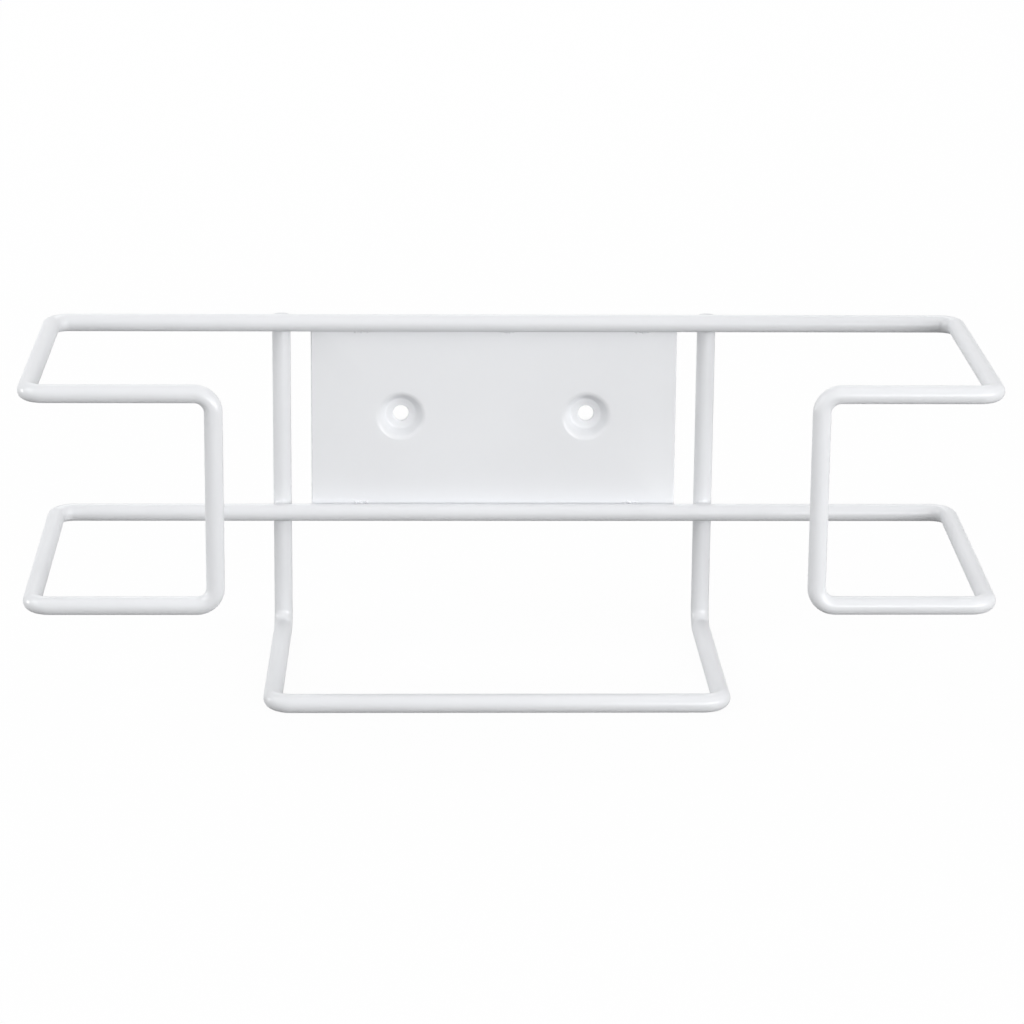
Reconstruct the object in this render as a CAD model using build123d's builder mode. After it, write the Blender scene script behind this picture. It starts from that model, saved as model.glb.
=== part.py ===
"""Wall holder for a box of disposable gloves: a coated wire rack, welded up from two bent wires
and one pressed sheet plate.

Millimetres. +X is right, -Y is towards the person who takes a glove, +Z is up. The origin lies
midway between the two screw holes, on the wall that the plate is screwed to.
"""
import os
from math import tan

from build123d import *

# ---- Driving dimensions -------------------------------------------------------------------------

# Loop wire: one closed wire that goes round the front of the box and leaves a gap to draw through.
overall_width = 280.0  # outside to outside
loop_wire_d = 5.3  # rod and coating together
loop_reach = 91.0  # back rails to front stubs, centre to centre
rail_gap = 60.0  # lower back rail to upper one, centre to centre
stub_gap = 62.5  # lower front stub to upper one: the side arms spread a little
draw_width = 172.0  # between the two front uprights, centre to centre
draw_shift = 1.5  # middle of that gap, to the right of the loop's own middle
loop_bend_r = 5.4  # every bend, on the wire's centreline

# Cradle wire: one wire bent to a U, hung behind the rails and turned forward as a shelf.
cradle_wire_d = 5.6
cradle_width = 130.0  # between the two uprights, centre to centre
shelf_width = 132.8  # corner to corner of the front bar: the shelf's arms spread a little
shelf_drop = 67.8  # screw holes down to the shelf's centreline
shelf_reach = 76.0  # uprights to the shelf's front bar, centre to centre
cradle_bend_r = 5.6
upright_overrun = 1.2  # uprights end this far above the upper rail's centreline
upright_end_bevel = 0.7  # on their cut ends

# Mounting plate: sheet steel that lies against the backs of both rails.
plate_width = 112.0
plate_overrun = 1.0  # plate ends this far past each rail's centreline
plate_t = 1.5
plate_corner_r = 1.5
screw_gap = 57.0  # hole to hole
screw_hole_d = 4.8
dimple_floor_d = 9.6  # flat round the hole, seen from the front
dimple_mouth_d = 13.6  # where the dimple's wall would cut the plate's front face
dimple_round_r = 0.9  # inside radius of the sheet where it is pressed round

# Welds.
loop_shift = 3.2  # loop's middle, to the right of the plate's, as the rack is welded up
weld_sink = 0.3  # how deep the wires are pressed into one another where they cross
plate_gap = 0.1  # left between plate and rails by the weld nuggets
nugget_d = 8.4
nugget_height = 1.2
nugget_pitch = 40.5
nuggets_per_rail = 3

# ---- Places worked out from them ----------------------------------------------------------------

upright_y = -cradle_wire_d / 2  # uprights touch the wall
rail_y = -(cradle_wire_d + loop_wire_d / 2 - weld_sink)
stub_y = rail_y - loop_reach
bar_y = upright_y - shelf_reach
rail_z = rail_gap / 2
stub_z = stub_gap / 2

side_x = (overall_width - loop_wire_d) / 2  # from the loop's own middle
draw_left_x = loop_shift + draw_shift - draw_width / 2
draw_right_x = loop_shift + draw_shift + draw_width / 2
upright_x = cradle_width / 2
shelf_x = shelf_width / 2

plate_front_y = rail_y + loop_wire_d / 2 + plate_gap
plate_back_y = plate_front_y + plate_t
plate_height = rail_gap + 2 * plate_overrun
cradle_end_z = rail_z + upright_overrun
nugget_dome_r = (nugget_d**2 / 4 + nugget_height**2) / (2 * nugget_height)
dimple_skirt_r = dimple_mouth_d / 2 + dimple_round_r + plate_t


def light_bends(route):
    """The same route with each arc as a Bezier curve, which sweeps and revolves to far fewer facets."""
    edges = []
    for edge in route.edges():
        if edge.geom_type == GeomType.CIRCLE:
            handle = 4 / 3 * tan(edge.length / edge.radius / 4) * edge.radius
            start, end = edge @ 0, edge @ 1
            edge = Edge.make_bezier(start, start + edge % 0 * handle, end - edge % 1 * handle, end)
        edges.append(edge)
    return Wire(edges)


# ---- Loop wire ----------------------------------------------------------------------------------


def half_loop(outer_x, draw_x):
    """Half of the loop's centreline, from the middle of the upper rail to that of the lower one."""
    return [
        (loop_shift, rail_y, rail_z),
        (outer_x, rail_y, rail_z),
        (outer_x, stub_y, stub_z),
        (draw_x, stub_y, stub_z),
        (draw_x, stub_y, -stub_z),
        (outer_x, stub_y, -stub_z),
        (outer_x, rail_y, -rail_z),
        (loop_shift, rail_y, -rail_z),
    ]


loop_halves = [
    half_loop(loop_shift - side_x, draw_left_x),
    half_loop(loop_shift + side_x, draw_right_x),
]

with BuildPart() as loop_wire:
    for corners in loop_halves:
        with BuildLine() as half_line:
            FilletPolyline(*corners, radius=loop_bend_r)
        half_path = light_bends(half_line.line)
        with BuildSketch(half_path ^ 0):
            Circle(loop_wire_d / 2)
        sweep(path=half_path)

# ---- Cradle wire --------------------------------------------------------------------------------

cradle_corners = [
    (-upright_x, upright_y, cradle_end_z),
    (-upright_x, upright_y, -shelf_drop),
    (-shelf_x, bar_y, -shelf_drop),
    (shelf_x, bar_y, -shelf_drop),
    (upright_x, upright_y, -shelf_drop),
    (upright_x, upright_y, cradle_end_z),
]

with BuildPart() as cradle_wire:
    with BuildLine() as cradle_line:
        FilletPolyline(*cradle_corners, radius=cradle_bend_r)
    cradle_path = light_bends(cradle_line.line)
    with BuildSketch(cradle_path ^ 0):
        Circle(cradle_wire_d / 2)
    sweep(path=cradle_path)
    chamfer(cradle_wire.faces().filter_by(Plane.XY).edges(), length=upright_end_bevel)
    add(loop_wire.part, mode=Mode.SUBTRACT)  # the saddles that the rails are pressed into

# ---- Mounting plate -----------------------------------------------------------------------------

with BuildPart() as nugget:  # a low dome of weld metal, flat side down
    with BuildSketch(Plane.XZ):
        with BuildLine():
            Polyline((0, nugget_height), (0, 0), (nugget_d / 2, 0))
            RadiusArc((0, nugget_height), (nugget_d / 2, 0), nugget_dome_r)
        make_face()
    revolve(axis=Axis.Z)

plate_front = Plane.XZ.offset(-plate_front_y)
plate_back = Plane.XZ.offset(-plate_back_y)

with BuildPart() as mounting_plate:
    with Locations(plate_front):
        with GridLocations(nugget_pitch, rail_gap, nuggets_per_rail, 2):
            add(nugget.part)
    with BuildSketch(plate_front):
        Rectangle(plate_width, plate_height)
    extrude(amount=nugget_height, mode=Mode.INTERSECT)  # no weld metal past the plate's edge
    add(loop_wire.part, mode=Mode.SUBTRACT)  # the nuggets take the shape of the rails
    with BuildSketch(plate_back):
        RectangleRounded(plate_width, plate_height, plate_corner_r)
        with GridLocations(screw_gap, 0, 2, 1):
            Circle(dimple_skirt_r, mode=Mode.SUBTRACT)
    extrude(amount=plate_t)
    for hole_x in (-screw_gap / 2, screw_gap / 2):
        with BuildLine() as dimple_section:
            FilletPolyline(
                (hole_x + dimple_skirt_r, plate_front_y),
                (hole_x + dimple_mouth_d / 2, plate_front_y),
                (hole_x + dimple_floor_d / 2, -plate_t),
                (hole_x + screw_hole_d / 2, -plate_t),
                radius=[dimple_round_r + plate_t, dimple_round_r],
            )
            offset(amount=plate_t, side=Side.RIGHT)
        with BuildSketch(Plane.XY):
            make_face(light_bends(dimple_section.line).edges())
        revolve(axis=Axis((hole_x, 0, 0), (0, 1, 0)))

# ---- Export -------------------------------------------------------------------------------------

loop_wire.part.label = "loop_wire"
cradle_wire.part.label = "cradle_wire"
mounting_plate.part.label = "mounting_plate"

os.makedirs("parts", exist_ok=True)
export_step(loop_wire.part, "parts/loop_wire.step")
export_step(cradle_wire.part, "parts/cradle_wire.step")
export_step(mounting_plate.part, "parts/mounting_plate.step")
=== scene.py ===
# %% [markdown]
# # A coated wire holder for a box of disposable gloves
#
# The real rack is two bent steel wires and a pressed plate, spot welded together and then powder
# coated white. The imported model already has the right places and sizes. This lesson gives each of
# the three pieces the finer shape that the coating leaves on it, and then its finish and light.

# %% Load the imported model
from math import cos, pi, radians, sin, tan

import bmesh
import bpy
from mathutils import Matrix, Vector, noise


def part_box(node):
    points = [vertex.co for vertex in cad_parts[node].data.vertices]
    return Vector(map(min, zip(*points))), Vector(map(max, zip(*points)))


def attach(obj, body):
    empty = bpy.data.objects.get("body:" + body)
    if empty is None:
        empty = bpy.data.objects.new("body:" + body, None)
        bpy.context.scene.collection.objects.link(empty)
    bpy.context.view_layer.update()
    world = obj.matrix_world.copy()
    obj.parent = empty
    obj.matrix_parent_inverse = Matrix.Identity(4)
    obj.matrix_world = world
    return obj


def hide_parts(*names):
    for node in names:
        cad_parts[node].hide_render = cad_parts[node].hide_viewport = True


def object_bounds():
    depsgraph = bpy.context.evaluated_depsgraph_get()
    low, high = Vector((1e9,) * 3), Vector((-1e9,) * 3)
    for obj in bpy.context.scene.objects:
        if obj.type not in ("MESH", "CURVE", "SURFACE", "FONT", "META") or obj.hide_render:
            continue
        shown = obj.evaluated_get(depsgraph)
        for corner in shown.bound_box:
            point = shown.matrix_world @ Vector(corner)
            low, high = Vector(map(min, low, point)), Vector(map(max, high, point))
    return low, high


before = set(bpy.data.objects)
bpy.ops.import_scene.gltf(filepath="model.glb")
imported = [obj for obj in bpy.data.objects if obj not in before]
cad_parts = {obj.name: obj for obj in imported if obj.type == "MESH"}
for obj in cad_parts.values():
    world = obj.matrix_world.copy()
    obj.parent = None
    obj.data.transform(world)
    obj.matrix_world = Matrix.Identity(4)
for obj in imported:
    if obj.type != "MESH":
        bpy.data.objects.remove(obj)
cad_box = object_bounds()
print("packed nodes:", sorted(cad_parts))

# %% [markdown]
# ## Sizes
#
# Everything is in metres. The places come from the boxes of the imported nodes, so the new pieces
# follow the model if it changes. Only what a box can't tell, such as a wire's thickness or the
# radius of a bend, is written here as a size of its own.

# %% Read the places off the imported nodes
MM = 0.001
LOOP_WIRE_D = 5.3 * MM
LOOP_BEND_R = 5.4 * MM
RAIL_GAP = 60.0 * MM
DRAW_WIDTH = 172.0 * MM
DRAW_SHIFT = 1.5 * MM
CRADLE_WIRE_D = 5.6 * MM
CRADLE_WIDTH = 130.0 * MM
CRADLE_BEND_R = 5.6 * MM
END_COATING = 0.25 * MM

loop_low, loop_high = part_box("loop_wire")
cradle_low, cradle_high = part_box("cradle_wire")
plate_low, plate_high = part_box("mounting_plate")
loop_r, cradle_r = LOOP_WIRE_D / 2, CRADLE_WIRE_D / 2

left_x, right_x = loop_low.x + loop_r, loop_high.x - loop_r
stub_y, rail_y = loop_low.y + loop_r, loop_high.y - loop_r
stub_z, rail_z = loop_high.z - loop_r, RAIL_GAP / 2
loop_middle_x = (left_x + right_x) / 2
draw_left_x = loop_middle_x + DRAW_SHIFT - DRAW_WIDTH / 2
draw_right_x = loop_middle_x + DRAW_SHIFT + DRAW_WIDTH / 2

upright_x, shelf_x = CRADLE_WIDTH / 2, cradle_high.x - cradle_r
bar_y, upright_y = cradle_low.y + cradle_r, cradle_high.y - cradle_r
bar_z, upright_top = cradle_low.z + cradle_r, cradle_high.z + END_COATING
print("rails at y %.2f mm, uprights at y %.2f mm" % (rail_y / MM, upright_y / MM))

# %% [markdown]
# ## Camera
#
# A long lens from a little over a metre keeps the front and the back of a small rack nearly the
# same size, so that its shape is easy to read. The camera comes early, so that each step can be
# looked at.

# %% Set up the camera
CAMERA_PLACE = Vector((-28.3, -1157.7, 305.8)) * MM
CAMERA_DOWN, CAMERA_RIGHT, CAMERA_ROLL = radians(16.27), radians(1.70), radians(0.50)
FOCAL_MM, SENSOR_MM = 136.4, 36.0

camera_data = bpy.data.cameras.new("catalogue_camera")
camera_data.lens, camera_data.sensor_width = FOCAL_MM, SENSOR_MM
camera = bpy.data.objects.new("catalogue_camera", camera_data)
bpy.context.scene.collection.objects.link(camera)
camera.matrix_world = (
    Matrix.Translation(CAMERA_PLACE)
    @ Matrix.Rotation(-CAMERA_RIGHT, 4, "Z")
    @ Matrix.Rotation(pi / 2 - CAMERA_DOWN, 4, "X")
    @ Matrix.Rotation(CAMERA_ROLL, 4, "Z")
)
bpy.context.scene.camera = camera
bpy.context.scene.view_settings.view_transform = "Standard"
print("camera %.2f m from the rack" % (camera.location - (cad_box[0] + cad_box[1]) / 2).length)

# %% [markdown]
# ## Bending wire
#
# A wire bender feeds a length of straight wire, clamps it against a die and turns it round the
# die, again and again. A curve with a round bevel would be quicker, but it pinches in tight
# bends. The bender's own two moves make the mesh instead: the ring of points round the wire is
# extruded along each run and spun round each bend. Every bend is then a true arc that is tangent
# to its runs.

# %% Feed the wire
WIRE_SIDES = 40


def turned_to(along):
    """The turn that lays a ring or a rod across the direction along."""
    return along.to_track_quat("Z", "X").to_matrix().to_4x4()


def ring_round(bm, at, along, radius):
    """A ring of points round a wire's centreline."""
    made = bmesh.ops.create_circle(
        bm, segments=WIRE_SIDES, radius=radius, matrix=Matrix.Translation(at) @ turned_to(along)
    )
    return list(dict.fromkeys(edge for vert in made["verts"] for edge in vert.link_edges))


def edges_in(made):
    """The edges among what an operator made."""
    return [item for item in made if isinstance(item, bmesh.types.BMEdge)]


def feed(bm, ring, move):
    """Pushes the wire's open end on by a straight run."""
    made = bmesh.ops.extrude_edge_only(bm, edges=ring)["geom"]
    verts = [item for item in made if isinstance(item, bmesh.types.BMVert)]
    bmesh.ops.translate(bm, vec=move, verts=verts)
    return [edge for edge in edges_in(made) if all(vert in verts for vert in edge.verts)]


print("a wire has %d sides" % WIRE_SIDES)

# %% Bend the wire
BEND_STEPS = 14


def bend(bm, ring, corner, come, go, bend_r):
    """Turns the wire's open end round a die, from direction come to direction go."""
    axis, turn = come.cross(go).normalized(), come.angle(go)
    centre = corner - come * bend_r * tan(turn / 2) + axis.cross(come) * bend_r
    made = bmesh.ops.spin(
        bm, geom=ring, cent=centre, axis=axis, angle=turn, steps=BEND_STEPS, use_merge=False
    )
    return edges_in(made["geom_last"])


def bend_wire(bm, corners, wire_r, bend_r):
    """Bends one wire along the corners of its centreline, up to the end of its last bend. Returns
    its first and last ring and the place that it has reached."""
    corners = [Vector(corner) for corner in corners]
    ways = [(b - a).normalized() for a, b in zip(corners, corners[1:])]
    at = corners[0]
    first = ring = ring_round(bm, at, ways[0], wire_r)
    for corner, come, go in zip(corners[1:], ways, ways[1:]):
        setback = bend_r * tan(come.angle(go) / 2)
        ring = feed(bm, ring, corner - come * setback - at)
        ring = bend(bm, ring, corner, come, go, bend_r)
        at = corner + go * setback
    return first, ring, at


print("a bend has %d steps" % BEND_STEPS)


# %% Make a piece of a mesh
def finished(name, bm, smooth=True):
    """Makes a piece of a bmesh, which it uses up. The piece's faces point outwards, and its object
    stays at the origin, because its place is in its mesh."""
    bmesh.ops.recalc_face_normals(bm, faces=bm.faces)
    mesh = bpy.data.meshes.new(name)
    for face in bm.faces:
        face.smooth = smooth
    bm.to_mesh(mesh)
    bm.free()
    piece = bpy.data.objects.new(name, mesh)
    bpy.context.scene.collection.objects.link(piece)
    print("%s: %d faces" % (name, len(mesh.polygons)))
    return piece


# %% [markdown]
# ## The loop wire
#
# One wire goes all the way round the box of gloves: along both back rails, forward along the
# arms, and in at the front, where two short stubs and an upright on each side leave a wide gap to
# draw the gloves through. Its ends are butt welded and ground, so the mesh closes on itself too:
# the last straight run is a bridge from the last bend back to the first ring.

# %% Bend the loop wire
loop_corners = [
    (loop_middle_x, rail_y, rail_z),
    (left_x, rail_y, rail_z),
    (left_x, stub_y, stub_z),
    (draw_left_x, stub_y, stub_z),
    (draw_left_x, stub_y, -stub_z),
    (left_x, stub_y, -stub_z),
    (left_x, rail_y, -rail_z),
    (right_x, rail_y, -rail_z),
    (right_x, stub_y, -stub_z),
    (draw_right_x, stub_y, -stub_z),
    (draw_right_x, stub_y, stub_z),
    (right_x, stub_y, stub_z),
    (right_x, rail_y, rail_z),
    (loop_middle_x, rail_y, rail_z),
]

bm = bmesh.new()
first_ring, last_ring, _ = bend_wire(bm, loop_corners, loop_r, LOOP_BEND_R)
bmesh.ops.bridge_loops(bm, edges=first_ring + last_ring)
loop_wire = finished("coated_loop_wire", bm)

# %% [markdown]
# ## The cradle wire
#
# The second wire is a U that hangs behind the rails and turns forward under the box as a shelf.
# Its two ends stick up just past the upper rail. They are cropped square, and the coating rounds
# their edges over, so each end is capped and its rim bevelled.

# %% Bend the cradle wire
END_ROUND = 0.7 * MM
END_STEPS = 6

cradle_corners = [
    (-upright_x, upright_y, upright_top),
    (-upright_x, upright_y, bar_z),
    (-shelf_x, bar_y, bar_z),
    (shelf_x, bar_y, bar_z),
    (upright_x, upright_y, bar_z),
    (upright_x, upright_y, upright_top),
]

bm = bmesh.new()
first_ring, last_ring, reached = bend_wire(bm, cradle_corners, cradle_r, CRADLE_BEND_R)
last_ring = feed(bm, last_ring, Vector(cradle_corners[-1]) - reached)
for rim in (first_ring, last_ring):
    bmesh.ops.edgeloop_fill(bm, edges=rim)
bmesh.ops.bevel(
    bm, geom=first_ring + last_ring, offset=END_ROUND, segments=END_STEPS, affect="EDGES",
    profile=0.5, material=-1,
)
cradle_wire = finished("coated_cradle_wire", bm)

# %% [markdown]
# ## Pools of coating at the crossings
#
# Where a rail crosses an upright, the melted powder draws into the sharp groove round the weld
# and sets as a small smooth web. Bevelling the edge where two round wires meet tears easily. A
# ball rolled into the groove leaves just that shape, so both wires are made too thick by the
# ball's radius, joined into one skin by a voxel remesh, and the skin is drawn back in by a hair
# more. Its round sides end up just under the wires, and only the filled groove shows.

# %% Grow one skin round two rods
POOL_BALL_R = 0.7 * MM
POOL_VOXEL = 0.2 * MM
POOL_UNDER = 0.035 * MM
POOL_SOFTENING, POOL_SOFTENING_STEPS = 0.5, 6


def rod(bm, centre, along, radius, length):
    """A short piece of straight rod."""
    bmesh.ops.create_cone(
        bm, cap_ends=True, segments=2 * WIRE_SIDES, radius1=radius, radius2=radius, depth=length,
        matrix=Matrix.Translation(centre) @ turned_to(along),
    )


def skin_of(bm, draw_in):
    """One closed skin round everything in the mesh, drawn in by a given depth."""
    rough = bpy.data.objects.new("rough", bpy.data.meshes.new("rough"))
    bpy.context.scene.collection.objects.link(rough)
    bm.to_mesh(rough.data)
    bm.free()
    remesh = rough.modifiers.new("one_skin", "REMESH")
    remesh.mode, remesh.voxel_size = "VOXEL", POOL_VOXEL
    soften = rough.modifiers.new("soften", "SMOOTH")
    soften.factor, soften.iterations = POOL_SOFTENING, POOL_SOFTENING_STEPS
    shrink = rough.modifiers.new("draw_in", "DISPLACE")
    shrink.direction, shrink.mid_level, shrink.strength = "NORMAL", 0.0, -draw_in
    skin = bpy.data.meshes.new_from_object(
        rough.evaluated_get(bpy.context.evaluated_depsgraph_get())
    )
    bpy.data.objects.remove(rough)
    return skin


print("a ball of %.1f mm rolls in the grooves" % (POOL_BALL_R / MM))

# %% [markdown]
# ## Trim the pools
#
# Only the middle of each skin is wanted. The rods run on past it, so that their own ends don't
# shape the web, and flat cuts take off the rest. Above the upper rail the cut comes where the
# upright's end starts to round over, because a skin that went past it would leave a lip there.

# %% Fill the four crossings
POOL_REACH = 9.0 * MM
POOL_KEPT = 5.0 * MM
TO_THE_RIGHT, UPWARDS = Vector((1, 0, 0)), Vector((0, 0, 1))


def cut_off(bm, place, way):
    """Cuts off what lies past a place in one direction, and closes the cut."""
    made = bmesh.ops.bisect_plane(
        bm, geom=bm.verts[:] + bm.edges[:] + bm.faces[:], plane_co=place, plane_no=way,
        clear_outer=True,
    )
    bmesh.ops.holes_fill(bm, edges=edges_in(made["geom_cut"]), sides=0)


bm = bmesh.new()
for upright in (-upright_x, upright_x):
    for rail in (-rail_z, rail_z):
        on_rail = Vector((upright, rail_y, rail))
        on_upright = Vector((upright, upright_y, rail))
        crossing = bmesh.new()
        rod(crossing, on_rail, TO_THE_RIGHT, loop_r + POOL_BALL_R, 2 * POOL_REACH)
        rod(crossing, on_upright, UPWARDS, cradle_r + POOL_BALL_R, 2 * POOL_REACH)
        skin = skin_of(crossing, POOL_BALL_R + POOL_UNDER)
        trimmed = bmesh.new()
        trimmed.from_mesh(skin)
        middle = Vector((upright, (rail_y + upright_y) / 2, rail))
        above = upright_top - END_ROUND - rail_z if rail > 0 else POOL_KEPT
        for way, kept in (
            (TO_THE_RIGHT, POOL_KEPT), (-TO_THE_RIGHT, POOL_KEPT),
            (UPWARDS, above), (-UPWARDS, POOL_KEPT),
        ):
            cut_off(trimmed, middle + way * kept, way)
        trimmed.to_mesh(skin)
        trimmed.free()
        bm.from_mesh(skin)
crossing_pools = finished("crossing_coating_pools", bm)

# %% [markdown]
# ## The mounting plate
#
# The plate is a blank of sheet steel with two dimples pressed back until they touch the wall, so
# that the screws pull on metal that is backed up. A dimple is round, so its section is drawn once
# with rounded corners and spun about the screw. A boolean cut could make a hollow too, but not
# one with soft corners and a wall of even thickness.

# %% Press the dimples
PLATE_T = 1.5 * MM
PLATE_GAP = 0.1 * MM
MOUTH_R, FLOOR_R, SCREW_HOLE_R = 6.8 * MM, 4.8 * MM, 2.4 * MM
MOUTH_ROUND, FLOOR_ROUND = 1.7 * MM, 0.8 * MM
SCREW_GAP = 57.0 * MM
DIMPLE_SIDES = 72
ROUND_STEPS = 8

plate_front = rail_y + loop_r + PLATE_GAP
skirt_r = MOUTH_R + MOUTH_ROUND
screw_places = [Vector((x, 0, 0)) for x in (-SCREW_GAP / 2, SCREW_GAP / 2)]


def dimple_section(bm, middle):
    """The front face's section through a dimple, from the flat to the screw hole."""
    points = (
        (skirt_r, plate_front), (MOUTH_R, plate_front),
        (FLOOR_R, -PLATE_T), (SCREW_HOLE_R, -PLATE_T),
    )
    verts = [bm.verts.new(middle + Vector((r, y, 0))) for r, y in points]
    for pair in zip(verts, verts[1:]):
        bm.edges.new(pair)
    slope = (verts[2].co - verts[1].co).angle(-TO_THE_RIGHT)
    for vert, radius in ((verts[1], MOUTH_ROUND), (verts[2], FLOOR_ROUND)):
        bmesh.ops.bevel(
            bm, geom=[vert], offset=radius * tan(slope / 2), segments=ROUND_STEPS,
            affect="VERTICES", profile=0.5, material=-1,
        )


bm = bmesh.new()
for middle in screw_places:
    before = set(bm.edges)
    dimple_section(bm, middle)
    section = [edge for edge in bm.edges if edge not in before]
    ends = list(dict.fromkeys(vert for edge in section for vert in edge.verts))
    bmesh.ops.spin(
        bm, geom=section + ends, cent=middle, axis=(0, 1, 0), angle=2 * pi, steps=DIMPLE_SIDES,
        use_merge=True,
    )
print("dimple faces:", len(bm.faces))

# %% [markdown]
# ## The blank round the dimples
#
# The blank is cut with its corners just broken. A grid of one face gives its outline, and its
# corners are bevelled. That one face is then taken out, and a triangle fill closes the flat
# between the outline and the round edges of the dimples, whatever number of points they have.

# %% Fill in the flat of the blank
PLATE_CORNER_R = 1.5 * MM
FLAT_WITHIN = 0.01 * MM

facing_front = Matrix.Rotation(pi / 2, 4, "X")
outline = bmesh.ops.create_grid(
    bm, x_segments=1, y_segments=1, size=1.0,
    matrix=Matrix.Translation((0, plate_front, 0)) @ facing_front
    @ Matrix.Diagonal((plate_high.x, plate_high.z, 1, 1)),
)["verts"]
bmesh.ops.bevel(
    bm, geom=outline, offset=PLATE_CORNER_R, segments=ROUND_STEPS, affect="VERTICES", profile=0.5,
    material=-1,
)
blank = max(bm.faces, key=lambda face: face.calc_area())
bmesh.ops.delete(bm, geom=[blank], context="FACES_ONLY")
open_edges = [
    edge for edge in bm.edges
    if len(edge.link_faces) < 2
    and all(abs(vert.co.y - plate_front) < FLAT_WITHIN for vert in edge.verts)
]
bmesh.ops.triangle_fill(bm, use_beauty=True, edges=open_edges)
print("blank and dimple faces:", len(bm.faces))

# %% [markdown]
# ## The sheet's thickness
#
# Sheet has the same thickness all over, also down the sides of a dimple, so one Solidify makes
# the back from the front. It grows the sheet on the side away from the normals, so the front has
# to face forward first. Sheared and punched edges are sharp, but the coating rounds them, so they
# get a small bevel.

# %% Thicken the sheet and round its edges
PLATE_EDGE_ROUND = 0.45 * MM
PLATE_EDGE_STEPS = 4
SHARP_FROM = radians(70)

bmesh.ops.recalc_face_normals(bm, faces=bm.faces)
if max(bm.faces, key=lambda face: face.calc_area()).normal.y > 0:
    bmesh.ops.reverse_faces(bm, faces=bm.faces)
bmesh.ops.solidify(bm, geom=bm.faces, thickness=PLATE_T)
rims = [
    edge for edge in bm.edges
    if len(edge.link_faces) == 2 and edge.calc_face_angle() > SHARP_FROM
]
bmesh.ops.bevel(
    bm, geom=rims, offset=PLATE_EDGE_ROUND, segments=PLATE_EDGE_STEPS, affect="EDGES",
    profile=0.5, material=-1,
)
mounting_plate = finished("coated_mounting_plate", bm)
depths = [vert.co.y / MM for vert in mounting_plate.data.vertices]
print("plate y from %.2f to %.2f mm" % (min(depths), max(depths)))
print("packed plate y from %.2f to %.2f mm" % (plate_low.y / MM, plate_high.y / MM))

# %% [markdown]
# ## Weld nuggets
#
# Between each rail and the plate there are three projection welds. The coating softens them to
# low lumps that only just peep out beside the rail, so a squashed ball is enough for each.

# %% Raise the nuggets
NUGGET_PITCH = 40.5 * MM
NUGGET_HALF = Vector((3.6, 0.9, 1.5)) * MM
NUGGET_FINENESS = 4

squashed = Matrix.Diagonal((*NUGGET_HALF, 1))
bm = bmesh.new()
for column in (-1, 0, 1):
    for row in (-1, 1):
        middle = Vector((column * NUGGET_PITCH, plate_front, row * rail_z))
        bmesh.ops.create_icosphere(
            bm, subdivisions=NUGGET_FINENESS, radius=1.0,
            matrix=Matrix.Translation(middle) @ squashed,
        )
print("nugget faces:", len(bm.faces))

# %% [markdown]
# ## Weld spatter
#
# A projection weld throws out tiny beads of steel, which freeze on the plate in a short crumbly
# line beside the rail and are coated with it. Each line is a few small balls. Noise read at the
# ball's own place shifts it, sizes it and pushes its surface about, so that no two are the same.
# The noise takes its start from the clock unless it is given a seed, so it gets one, and every
# run of the script makes the same beads.

# %% Throw the spatter
SPATTER_PLACES = ((-1, 26.6), (0.1, 26.75), (1.12, 26.6), (-1, -27.7), (1.05, -27.6))
SPATTER_BEADS = 5
SPATTER_SPAN = 3.6 * MM
BEAD_R = 0.38 * MM
BEAD_FINENESS = 3
SIZE_DRIFT = 0.5
LUMP_DEPTH = 0.16 * MM
DRIFT_PER_M, LUMPS_PER_M = 900, 1800
SPATTER_SEED = 3

noise.seed_set(SPATTER_SEED)
for column, height in SPATTER_PLACES:
    for bead in range(SPATTER_BEADS):
        along = (bead / (SPATTER_BEADS - 1) - 0.5) * SPATTER_SPAN
        middle = Vector((column * NUGGET_PITCH + along, plate_front, height * MM))
        pushed = noise.noise_vector(middle * DRIFT_PER_M)
        middle += Vector((pushed.x, 0, pushed.z)) * BEAD_R
        made = bmesh.ops.create_icosphere(
            bm, subdivisions=BEAD_FINENESS, radius=BEAD_R * (1 + SIZE_DRIFT * pushed.y),
            matrix=Matrix.Translation(middle),
        )
        for vert in made["verts"]:
            vert.co += noise.noise_vector(vert.co * LUMPS_PER_M) * LUMP_DEPTH
nuggets = finished("weld_nuggets", bm)

# %% [markdown]
# ## Powder coating
#
# Powder coating melts and flows into a hard skin with a faint orange peel. It is almost white, a
# touch cool, and its tone and gloss wander a little. The peel and the wander are the same on all
# the pieces, so they are a node group that each finish sets in its own way. The noise reads
# Object coordinates, so the pattern keeps its size on every piece.

# %% Build the coating's node group
DRIFT_SCALE, DRIFT_DETAIL = 38.0, 3.0
PEEL_SCALE, PEEL_DETAIL = 900.0, 2.0
DRIFT_IN_PEEL = 2.0


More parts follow.
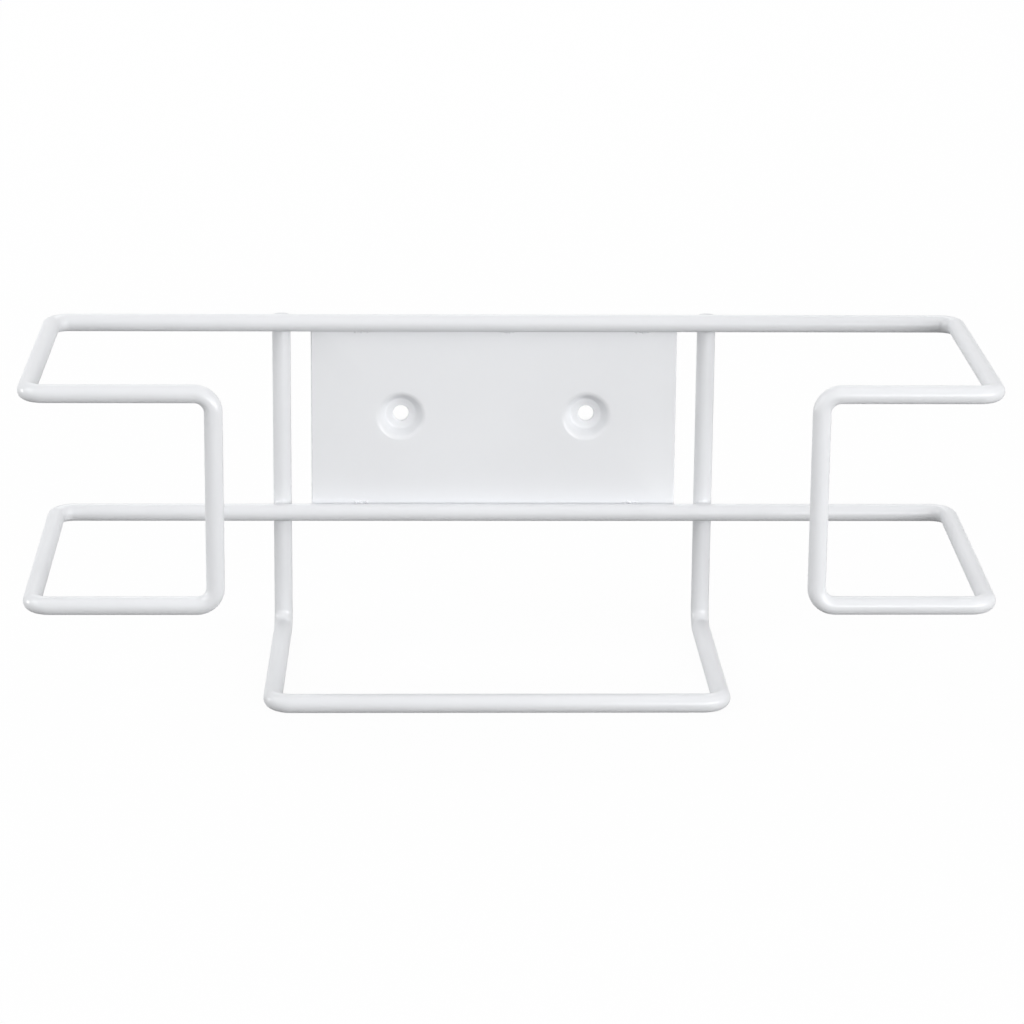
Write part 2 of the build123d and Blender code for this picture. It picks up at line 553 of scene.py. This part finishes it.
def coating_group():
    """A node group that gives powder coating its uneven tone, gloss and orange peel."""
    group = bpy.data.node_groups.new("powder_coating", "ShaderNodeTree")
    sockets = group.interface
    for name, kind, value in (
        ("Tone", "NodeSocketColor", (0.8, 0.81, 0.83, 1)), ("Tone Drift", "NodeSocketFloat", 0.03),
        ("Roughness", "NodeSocketFloat", 0.3), ("Gloss Drift", "NodeSocketFloat", 0.06),
        ("Peel Size", "NodeSocketFloat", PEEL_SCALE),
    ):
        sockets.new_socket(name, in_out="INPUT", socket_type=kind).default_value = value
    for name, kind in (
        ("Color", "NodeSocketColor"), ("Roughness", "NodeSocketFloat"),
        ("Height", "NodeSocketFloat"),
    ):
        sockets.new_socket(name, in_out="OUTPUT", socket_type=kind)
    nodes, links = group.nodes, group.links
    given, put = nodes.new("NodeGroupInput"), nodes.new("NodeGroupOutput")
    place = nodes.new("ShaderNodeTexCoord")

    def fill(socket, value):
        if isinstance(value, bpy.types.NodeSocket):
            links.new(value, socket)
        else:
            socket.default_value = value

    def cloud(scale, detail):
        made = nodes.new("ShaderNodeTexNoise")
        links.new(place.outputs["Object"], made.inputs["Vector"])
        fill(made.inputs["Scale"], scale)
        fill(made.inputs["Detail"], detail)
        return made.outputs["Fac"]

    def maths(how, *values):
        made = nodes.new("ShaderNodeMath")
        made.operation = how
        for socket, value in zip(made.inputs, values):
            fill(socket, value)
        return made.outputs[0]

    wide = cloud(DRIFT_SCALE, DRIFT_DETAIL)
    fine = cloud(given.outputs["Peel Size"], PEEL_DETAIL)
    drift = maths("SUBTRACT", wide, 0.5)
    tinted = nodes.new("ShaderNodeVectorMath")
    tinted.operation = "SCALE"
    fill(tinted.inputs[0], given.outputs["Tone"])
    lighter = maths("MULTIPLY_ADD", drift, given.outputs["Tone Drift"], 1.0)
    fill(tinted.inputs["Scale"], lighter)
    gloss = maths("MULTIPLY_ADD", drift, given.outputs["Gloss Drift"], given.outputs["Roughness"])
    fill(put.inputs["Color"], tinted.outputs[0])
    fill(put.inputs["Roughness"], gloss)
    fill(put.inputs["Height"], maths("MULTIPLY_ADD", wide, DRIFT_IN_PEEL, fine))
    return group


powder_coating = coating_group()
print("powder coating group: %d nodes" % len(powder_coating.nodes))

# %% [markdown]
# ## The two finishes
#
# The coating shines softly where it faces the viewer: a clear gloss lies on a duller body of
# pigment. The pigment is the shader's own roughness with a low IOR, and the gloss is its coat.
# Real gloss grows towards a slant, where white wire in a white room would lose its edges in it.
# So the coat is faded out there by a Layer Weight node, which stays in the material itself, and
# the sides of each wire stay a little darker. The plate wears the same coating, but its tone is a
# shade lighter than the wires': painted light, standing in for more light on the plate. Its flat
# face shows more of the peel.

# %% Mix the wire's and the plate's finish
PIGMENT_ROUGHNESS, PIGMENT_IOR = 0.45, 1.2
GLOSS_ROUGHNESS, GLOSS_WEIGHT = 0.15, 0.8
SLANT_BLEND, FADE_START, FADE_END = 0.5, 0.35, 0.75
# The plate's tone is painted lighter than the wires': the same coating, made brighter to stand in
# for more light on the plate.
WIRE_TONE, PLATE_TONE_PAINTED_LIGHTER = (0.82, 0.83, 0.85), (0.87, 0.88, 0.90)
WIRE_PEEL, PLATE_PEEL = 0.005 * MM, 0.010 * MM


def coated(name, tone, peel_depth):
    """A powder coated finish."""
    finish = bpy.data.materials.new(name)
    finish.use_nodes = True
    nodes, links = finish.node_tree.nodes, finish.node_tree.links
    shader = nodes["Principled BSDF"]
    shader.inputs["IOR"].default_value = PIGMENT_IOR
    shader.inputs["Coat Roughness"].default_value = GLOSS_ROUGHNESS

    coat, bump = nodes.new("ShaderNodeGroup"), nodes.new("ShaderNodeBump")
    coat.node_tree = powder_coating
    coat.inputs["Tone"].default_value = (*tone, 1)
    coat.inputs["Roughness"].default_value = PIGMENT_ROUGHNESS
    bump.inputs["Strength"].default_value = 1.0
    bump.inputs["Distance"].default_value = peel_depth
    links.new(coat.outputs["Color"], shader.inputs["Base Color"])
    links.new(coat.outputs["Roughness"], shader.inputs["Roughness"])
    links.new(coat.outputs["Height"], bump.inputs["Height"])
    links.new(bump.outputs["Normal"], shader.inputs["Normal"])

    slant, fade = nodes.new("ShaderNodeLayerWeight"), nodes.new("ShaderNodeMapRange")
    slant.inputs["Blend"].default_value = SLANT_BLEND
    fade.interpolation_type = "SMOOTHSTEP"
    for socket, value in (
        ("From Min", FADE_START), ("From Max", FADE_END), ("To Min", GLOSS_WEIGHT), ("To Max", 0.0)
    ):
        fade.inputs[socket].default_value = value
    links.new(slant.outputs["Facing"], fade.inputs["Value"])
    links.new(fade.outputs["Result"], shader.inputs["Coat Weight"])
    return finish


wire_coat = coated("wire_powder_coat", WIRE_TONE, WIRE_PEEL)
plate_coat = coated("plate_powder_coat", PLATE_TONE_PAINTED_LIGHTER, PLATE_PEEL)
print("finishes:", wire_coat.name, plate_coat.name)

# %% [markdown]
# ## Attach the pieces
#
# Each new piece rides on the rack's one body and takes the place of an imported node, which is
# hidden. The pools and the nuggets have no node of their own: the pools wear the wires' finish, and
# the nuggets the finish of the plate that they are welded to.

# %% Finish and attach the pieces
for piece, finish, slot, node in (
    (loop_wire, wire_coat, "coated_wire", "loop_wire"),
    (cradle_wire, wire_coat, "coated_wire", "cradle_wire"),
    (crossing_pools, wire_coat, "coated_wire", None),
    (mounting_plate, plate_coat, "coated_plate", "mounting_plate"),
    (nuggets, plate_coat, "coated_plate", None),
):
    piece.data.materials.append(finish)
    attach(piece, "root")
    if node:
        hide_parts(node)
    print("%s: %s, for %s" % (piece.name, finish.name, node or "no node of its own"))

# %% [markdown]
# ## The floor
#
# The rack stands on its shelf on a sweep of plain white paper. One big face under it is enough.
# The paper belongs to the studio and not to the rack.

# %% Lay the floor
FLOOR_SIZE = 12.0

bm = bmesh.new()
bmesh.ops.create_grid(
    bm, x_segments=1, y_segments=1, size=FLOOR_SIZE / 2,
    matrix=Matrix.Translation((0, 0, cad_box[0].z)),
)
floor = finished("white_sweep", bm, smooth=False)

# %% [markdown]
# ## White paper that takes a shadow
#
# Paper under soft light comes out grey, and lamps that are strong enough to whiten it would burn
# out a white rack. So the Light Path node tells apart the rays that see the paper from those that
# only carry light. To the first it is mostly a white glow, with a little matt paper left in to
# take the shadow. To the others it is grey, so that it throws little light up under the wires.

# %% Tell the rays apart
BOUNCE_GREY = 0.16
GLOW_SHARE = 0.95
WHITE = (1, 1, 1, 1)


def seen_directly(nodes, links):
    """1 for rays from the camera, mirrors and glass, and 0 for the rays that only carry light."""
    rays = nodes.new("ShaderNodeLightPath")
    seen = rays.outputs["Is Camera Ray"]
    for name in ("Is Glossy Ray", "Is Transmission Ray"):
        either = nodes.new("ShaderNodeMath")
        either.operation = "MAXIMUM"
        links.new(seen, either.inputs[0])
        links.new(rays.outputs[name], either.inputs[1])
        seen = either.outputs[0]
    return seen


def mix_into_output(nodes, links, output_kind, share, unseen, seen):
    """Mixes two shaders by a share of the second, and puts the mix out."""
    out, blend = nodes.new(output_kind), nodes.new("ShaderNodeMixShader")
    links.new(share, blend.inputs["Fac"])
    links.new(unseen.outputs[0], blend.inputs[1])
    links.new(seen.outputs[0], blend.inputs[2])
    links.new(blend.outputs[0], out.inputs["Surface"])


print("the paper glows for %d%% where it is seen" % round(100 * GLOW_SHARE))

# %% Make the paper
paper = bpy.data.materials.new("white_sweep")
paper.use_nodes = True
nodes, links = paper.node_tree.nodes, paper.node_tree.links
nodes.clear()
matt, glow = nodes.new("ShaderNodeBsdfDiffuse"), nodes.new("ShaderNodeEmission")
tone, share = nodes.new("ShaderNodeMix"), nodes.new("ShaderNodeMath")
tone.data_type, share.operation = "RGBA", "MULTIPLY"
tone.inputs[6].default_value = (BOUNCE_GREY, BOUNCE_GREY, BOUNCE_GREY, 1)
tone.inputs[7].default_value = WHITE
share.inputs[1].default_value = GLOW_SHARE
seen = seen_directly(nodes, links)
links.new(seen, tone.inputs[0])
links.new(seen, share.inputs[0])
links.new(tone.outputs[2], matt.inputs["Color"])
mix_into_output(nodes, links, "ShaderNodeOutputMaterial", share.outputs[0], matt, glow)
floor.data.materials.append(paper)
print("paper: %d nodes" % len(nodes))

# %% [markdown]
# ## The room
#
# Rays that miss the paper meet the room. It is white where it is seen, so that paper and room run
# into each other, and a dim, even grey where it only lights the rack and fills its shadows.

# %% Light the room
ROOM_LEVEL = 0.35

world = bpy.data.worlds.new("studio")
world.use_nodes = True
bpy.context.scene.world = world
nodes, links = world.node_tree.nodes, world.node_tree.links
nodes.clear()
room, white = nodes.new("ShaderNodeBackground"), nodes.new("ShaderNodeBackground")
room.inputs["Color"].default_value = white.inputs["Color"].default_value = WHITE
room.inputs["Strength"].default_value = ROOM_LEVEL
mix_into_output(nodes, links, "ShaderNodeOutputWorld", seen_directly(nodes, links), room, white)
print("room level %.2f" % ROOM_LEVEL)

# %% [markdown]
# ## Soft boxes
#
# White wire on a white ground is told only by its shading, so the light has a side: most of it
# comes low from the front right, less from the left, and little from above. Area lamps stand in
# for soft boxes. They all stand at one distance and are told by their angles, and a box's power
# is worked out from the brightness that it gives a white card, so that boxes can be compared.

# %% Set up the soft boxes
BOX_FAR = 1.8


def soft_box(name, turn, lift, width, height, level):
    """A soft box aimed at the rack, from so many degrees to its right and above. A white card that
    faces it would show at the given level."""
    lamp = bpy.data.lights.new(name, "AREA")
    lamp.shape, lamp.size, lamp.size_y = "RECTANGLE", width, height
    lamp.energy = level * pi**2 * BOX_FAR**2
    stand = bpy.data.objects.new(name, lamp)
    turn, lift = radians(turn), radians(lift)
    toward = Vector((sin(turn) * cos(lift), -cos(turn) * cos(lift), sin(lift)))
    stand.location = (cad_box[0] + cad_box[1]) / 2 + toward * BOX_FAR
    stand.rotation_mode = "QUATERNION"
    stand.rotation_quaternion = toward.to_track_quat("Z", "Y")
    bpy.context.scene.collection.objects.link(stand)
    print("%s: %.1f W" % (name, lamp.energy))


for placed in (
    ("key_box", 42, 10, 1.5, 0.8, 0.34),
    ("near_box", 15, 6, 0.6, 0.6, 0.18),
    ("near_strip", 35, 5, 0.5, 0.8, 0.15),
    ("side_strip", 60, 5, 0.5, 0.8, 0.19),
    ("right_corner_box", 50, 38, 0.45, 0.35, 0.04),
    ("fill_box", -60, 12, 0.8, 0.8, 0.12),
    ("left_corner_box", -60, 30, 0.35, 0.3, 0.035),
    ("high_fill", -80, 35, 0.8, 0.8, 0.22),
    ("rim_box", -103, 4, 0.5, 0.8, 0.26),
    ("top_box", 0, 85, 1.0, 1.0, 0.07),
    ("back_box", 180, 35, 1.2, 1.0, 0.28),
):
    soft_box(*placed)

# %% [markdown]
# ## The imported size
#
# The finer shapes mustn't make the rack bigger than the imported model. So the box round the
# imported model is written down.

# %% Write the imported model's box
print("packed box", [[round(v / MM, 2) for v in c] for c in cad_box])
